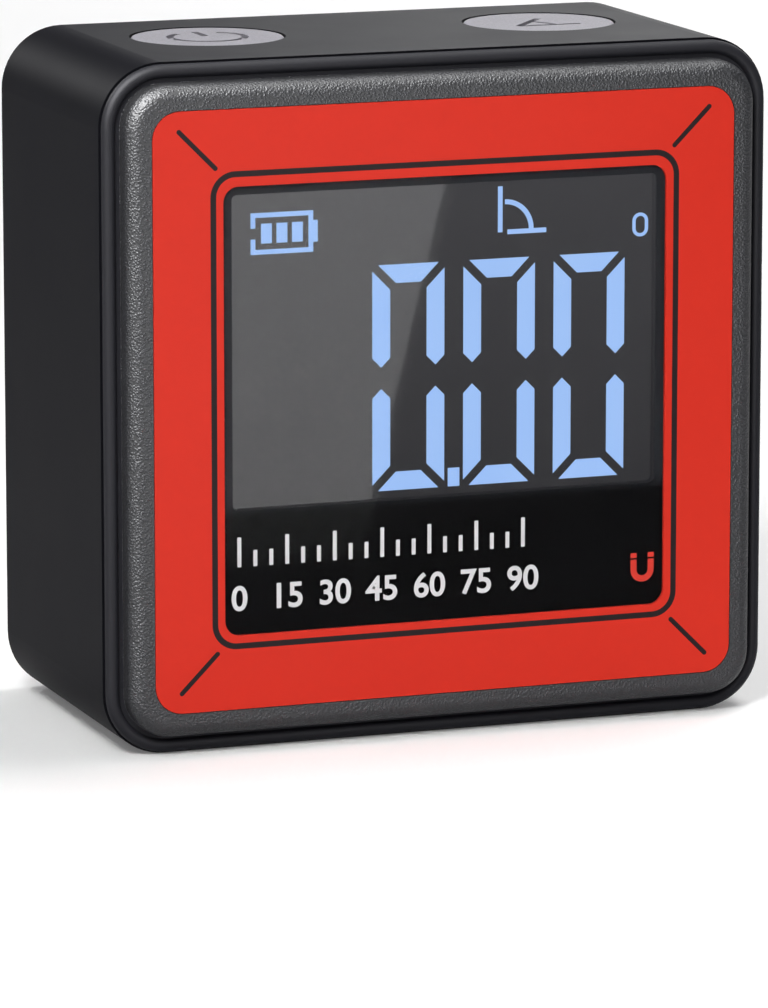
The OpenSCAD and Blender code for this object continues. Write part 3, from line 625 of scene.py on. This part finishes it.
# Flakes are about 0.03 mm, and are drawn at 0.1 mm.
flakes = add(tree, "TexVoronoi", None, {"Vector": place, "Scale": per_mm(0.1)})
flake = add(tree, "SeparateXYZ", None, {0: flakes.outputs["Color"]})
add(tree, "Mix", {"data_type": "RGBA"}, {
    0: flake.outputs["X"], 6: linear("#86848a"), 7: linear("#949298")}, {2: shader.inputs["Base Color"]})
add(tree, "MapRange", None, {"Value": flake.outputs["Y"], "To Min": 0.5, "To Max": 0.62}, {
    0: shader.inputs["Roughness"]})
add(tree, "Bump", None, {"Height": flake.outputs["Z"], "Distance": 0.004 * MM, "Strength": 0.2}, {
    0: shader.inputs["Normal"]})
for cap, node, body in ((power_cap, "power_button", "power_key"), (mode_cap, "mode_button", "mode_key")):
    coat(cap, silver_paint)
    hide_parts(node)
    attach(cap, body)
print("caps:", power_cap.name, mode_cap.name)

# %% [markdown]
# ## Print on the window
#
# Below the display the window carries white print. Here it is a plain scale of ticks with degrees
# under it. One tick is a plane that extrude thickens, and an Array repeats it, so the spacing is one
# number. The degrees are text objects turned into meshes. The print is a layer of ink on the front of
# the window, one hundredth of a millimetre thick.

# %% Ticks
window_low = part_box("display_lens")[0]
ink_t = 0.012 * MM
scale_left = -16.2 * MM
scale_right = 6.0 * MM
degrees = [0, 15, 30, 45, 60, 75, 90]
number_step = (scale_right - scale_left) / (len(degrees) - 1)
steps_per_number = 3
fine_step = number_step / steps_per_number
tick_low = 13.97 * MM
tick_w = 0.3 * MM
long_tick_h = 2.2 * MM
fine_tick_h = 1.2 * MM


def repeat_along(piece, count, step):
    """Repeats a piece to the right, a fixed step apart."""
    repeat = piece.modifiers.new("repeat", "ARRAY")
    repeat.count = count
    repeat.use_relative_offset = False
    repeat.use_constant_offset = True
    repeat.constant_offset_displace = (step, 0, 0)
    bpy.ops.object.modifier_apply(modifier=repeat.name)


def tick(x, height):
    """One printed tick that stands on the scale's line."""
    at = Vector((x, window_low.y, tick_low + height / 2))
    piece = upright_plane(at, 0, tick_w, height)
    draw_out((0, -ink_t, 0))
    return piece


long_ticks = tick(scale_left, long_tick_h)
repeat_along(long_ticks, len(degrees), number_step)
fine_ticks = tick(scale_left + fine_step, fine_tick_h)
repeat_along(fine_ticks, steps_per_number - 1, fine_step)
repeat_along(fine_ticks, len(degrees) - 1, number_step)
print("ticks every", round(fine_step / MM, 2), "mm")

# %% Degrees
digit_low = 10.75 * MM
digit_h = 1.9 * MM
# A number's outline is moved out by this share of its letter size, which makes it bolder.
digit_bold = 0.018


def printed_number(number, x):
    """A number as a thin mesh that faces the front."""
    bpy.ops.object.select_all(action="DESELECT")
    bpy.ops.object.text_add()
    text = bpy.context.object
    text.data.body = str(number)
    text.data.align_x = "CENTER"
    text.data.offset = digit_bold
    text.data.resolution_u = 6
    bpy.context.view_layer.update()
    size = digit_h / text.dimensions.y
    text.data.extrude = ink_t / 2 / size
    bpy.ops.object.convert(target="MESH")
    text.location = (x, window_low.y - ink_t / 2, digit_low)
    text.rotation_euler = (math.pi / 2, 0, 0)
    text.scale = (size, size, size)
    bpy.ops.object.transform_apply(location=True, rotation=True, scale=True)
    return text


numbers = [printed_number(n, scale_left + i * number_step) for i, n in enumerate(degrees)]
print("numbers:", degrees)


# %% One piece of print
def join(pieces, name):
    """Joins meshes into the first of them and names it."""
    pick(*pieces)
    bpy.ops.object.join()
    pieces[0].name = name
    print(name, "faces:", len(pieces[0].data.polygons))
    return pieces[0]


window_scale = join([long_ticks, fine_ticks] + numbers, "window_scale")

# %% [markdown]
# ## Magnet sign
#
# A small red horseshoe in the corner says that the base is magnetic. Spin bends its bow out of a
# plane, extrude makes the two legs, and the poles are two short bars above a gap.

# %% Horseshoe
sign_middle = Vector((15.56 * MM, window_low.y - ink_t / 2, 11.57 * MM))
sign_stroke = 0.48 * MM
sign_r = 0.69 * MM
leg_l = 0.78 * MM
pole_gap = 0.13 * MM
pole_l = 0.37 * MM
bow_steps = 20
upwards = Vector((0, 0, 1))


def flat_plane(at):
    """A level plane as wide as a stroke and as deep as the ink, open in edit mode."""
    return open_plane(at, (0, 0, 0), sign_stroke, ink_t)


def rising_bar(at, length):
    """An upright bar of ink."""
    piece = flat_plane(at)
    draw_out(upwards * length)
    return piece


bow = flat_plane(sign_middle + Vector((sign_r, 0, 0)))
bpy.ops.mesh.spin(steps=bow_steps, angle=-math.pi, center=sign_middle, axis=(0, 1, 0))
close_stroke()
bars = []
for side in (-1, 1):
    foot = sign_middle + Vector((side * sign_r, 0, 0))
    bars.append(rising_bar(foot, leg_l))
    bars.append(rising_bar(foot + upwards * (leg_l + pole_gap), pole_l))
magnet_sign = join([bow] + bars, "magnet_sign")

# %% [markdown]
# ## Printing inks
#
# Screen-printing ink is opaque and a little uneven, and it dries with soft edges and a satin face.
# Both inks get the same faint mottle.

# %% Ink finishes
for piece, name, slot, dark, light in (
        (window_scale, "white_screen_ink", "holder_white", "#dcdcdd", "#e6e6e7"),
        (magnet_sign, "red_screen_ink", "panel_red", "#d5372a", "#dd3d2f")):
    ink, tree, shader, place = start_finish(name, Specular_IOR_Level=0.1)
    cloud(tree, shader, place, 0.8, dark, light, 0.5, 0.65)
    coat(piece, ink)
    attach(piece, "case")
    print(name, "on", piece.name)

# %% [markdown]
# ## Metal pieces
#
# Three kinds of bright metal show on the outside: zinc-plated screws, a socket shell drawn from
# stainless steel, and nickel-plated magnets in the base. A metal takes its look from its roughness,
# so each one gets a pattern of the marks that its making leaves: blotches in the zinc, long draw
# lines along the socket, and a fine haze in the nickel.

# %% Zinc
zinc, tree, shader, place = start_finish("zinc_plated_steel", Metallic=1.0)
cloud(tree, shader, place, 0.9, "#8c8e92", "#a3a5a8", 0.28, 0.42)
dress(zinc, "case_screws", "board_screws")

# %% Drawn steel
drawn_steel, tree, shader, place = start_finish("drawn_stainless_steel", Metallic=1.0)
# Draw lines run along the socket's depth and are about 0.1 mm apart.
stretch = add(tree, "Mapping", None, {"Vector": place, "Scale": (1.0, 0.05, 1.0)})
cloud(tree, shader, stretch.outputs[0], 0.1, "#b4b7bc", "#c9ccd0", 0.22, 0.36)
dress(drawn_steel, "socket_shell")

# %% Nickel
nickel, tree, shader, place = start_finish("nickel_plated_magnet", Metallic=1.0)
cloud(tree, shader, place, 1.5, "#a9abad", "#b8babb", 0.18, 0.3)
dress(nickel, "base_magnets")

# %% [markdown]
# ## Moulded plastics inside
#
# The small inner pieces are plain mouldings, and they show only when the gauge is taken apart. Each
# plastic gets its own colour, a cloudy change of tone and a gloss that fits it: epoxy is dull, the
# light guide is glossy and a little milky, and the plungers are bare cream plastic.

# %% Inner plastics
for name, dark, light, patch_mm, rough, nodes in (
        ("moulded_black_epoxy", "#1a1a1c", "#212123", 0.6, (0.5, 0.62),
         ("controller_chip", "tilt_sensor", "board_header",
          "power_switch", "mode_switch", "socket_tongue")),
        ("moulded_white_abs", "#d6d6d2", "#dededa", 3, (0.42, 0.52), ("display_holder",)),
        ("milky_acrylic_guide", "#e3e9f2", "#eef3fa", 4, (0.12, 0.22), ("backlight_plate",)),
        ("moulded_cream_acetal", "#e7ddc4", "#eee5cf", 1, (0.35, 0.45), ("power_plunger", "mode_plunger"))):
    plastic, tree, shader, place = start_finish(name, IOR=1.5)
    cloud(tree, shader, place, patch_mm, dark, light, *rough)
    dress(plastic, *nodes)

# %% [markdown]
# ## Circuit boards
#
# A circuit board is glass fibre under green solder mask. Copper tracks under the mask show as lighter
# lines, and a brick pattern with thin joints draws such tracks without a picture.

# %% Board finish
solder_mask, tree, shader, place = start_finish("solder_mask_on_glass_fibre", IOR=1.5)
# Tracks are 0.24 mm wide, which is twice the mortar size, and lie 1.3 mm apart.
turned = add(tree, "Mapping", None, {"Vector": place, "Rotation": (math.pi / 2, 0, 0)})
tracks = add(tree, "TexBrick", None, {
    "Vector": turned.outputs[0], "Scale": per_mm(1), "Mortar Size": 0.12, "Brick Width": 4.0,
    "Row Height": 1.3, "Color1": linear("#1d5a38"), "Color2": linear("#1a5434"),
    "Mortar": linear("#2f7d50")}, {"Color": shader.inputs["Base Color"]})
add(tree, "MapRange", None, {"Value": tracks.outputs["Fac"], "To Min": 0.32, "To Max": 0.4}, {
    0: shader.inputs["Roughness"]})
dress(solder_mask, "main_board", "button_board", "charge_board")

# %% [markdown]
# ## Cell, foam and contact strip
#
# The cell is wrapped in foil with faint creases, the pad under it is open foam with pores, and the strip
# that connects the display is silicone in thin layers of two kinds, which shows as stripes.

# %% Cell foil
foil, tree, shader, place = start_finish("laminated_cell_foil", Metallic=0.9)
patches = cloud(tree, shader, place, 5, "#b3b6bb", "#c3c6ca", 0.3, 0.45)
add(tree, "Bump", None, {"Height": patches, "Distance": 0.1 * MM, "Strength": 0.3}, {
    0: shader.inputs["Normal"]})
dress(foil, "battery_cell")

# %% Foam
foam, tree, shader, place = start_finish("open_cell_foam", Roughness=0.95, Specular_IOR_Level=0.1)
# The pores are 0.4 mm wide.
pores = add(tree, "TexVoronoi", None, {"Vector": place, "Scale": per_mm(0.4)})
# Painted shade: the middle of each pore is painted darker, for the shade in the hollow.
add(tree, "Mix", {"data_type": "RGBA"}, {
    0: pores.outputs["Distance"], 6: linear("#2c2c2c"), 7: linear("#474747")}, {
    2: shader.inputs["Base Color"]})
add(tree, "Bump", None, {"Height": pores.outputs["Distance"], "Distance": 0.2 * MM, "Strength": 0.8}, {
    0: shader.inputs["Normal"]})
dress(foam, "battery_pad")

# %% Layered silicone
silicone, tree, shader, place = start_finish("layered_silicone_strip", Roughness=0.6)
# The layers are 0.05 mm thick, and are drawn as stripes 1.57 mm apart. At a scale of 1, a wave of this
# texture is 2 pi / 20 long.
stripe_mm = 1.57
wave_l = 2 * math.pi / 20
layers = add(tree, "TexWave", {"wave_type": "BANDS", "bands_direction": "X"}, {
    "Vector": place, "Scale": wave_l * per_mm(stripe_mm)})
add(tree, "Mix", {"data_type": "RGBA"}, {
    0: layers.outputs["Fac"], 6: linear("#8e5f6c"), 7: linear("#c58d98")}, {
    2: shader.inputs["Base Color"]})
dress(silicone, "contact_strip")
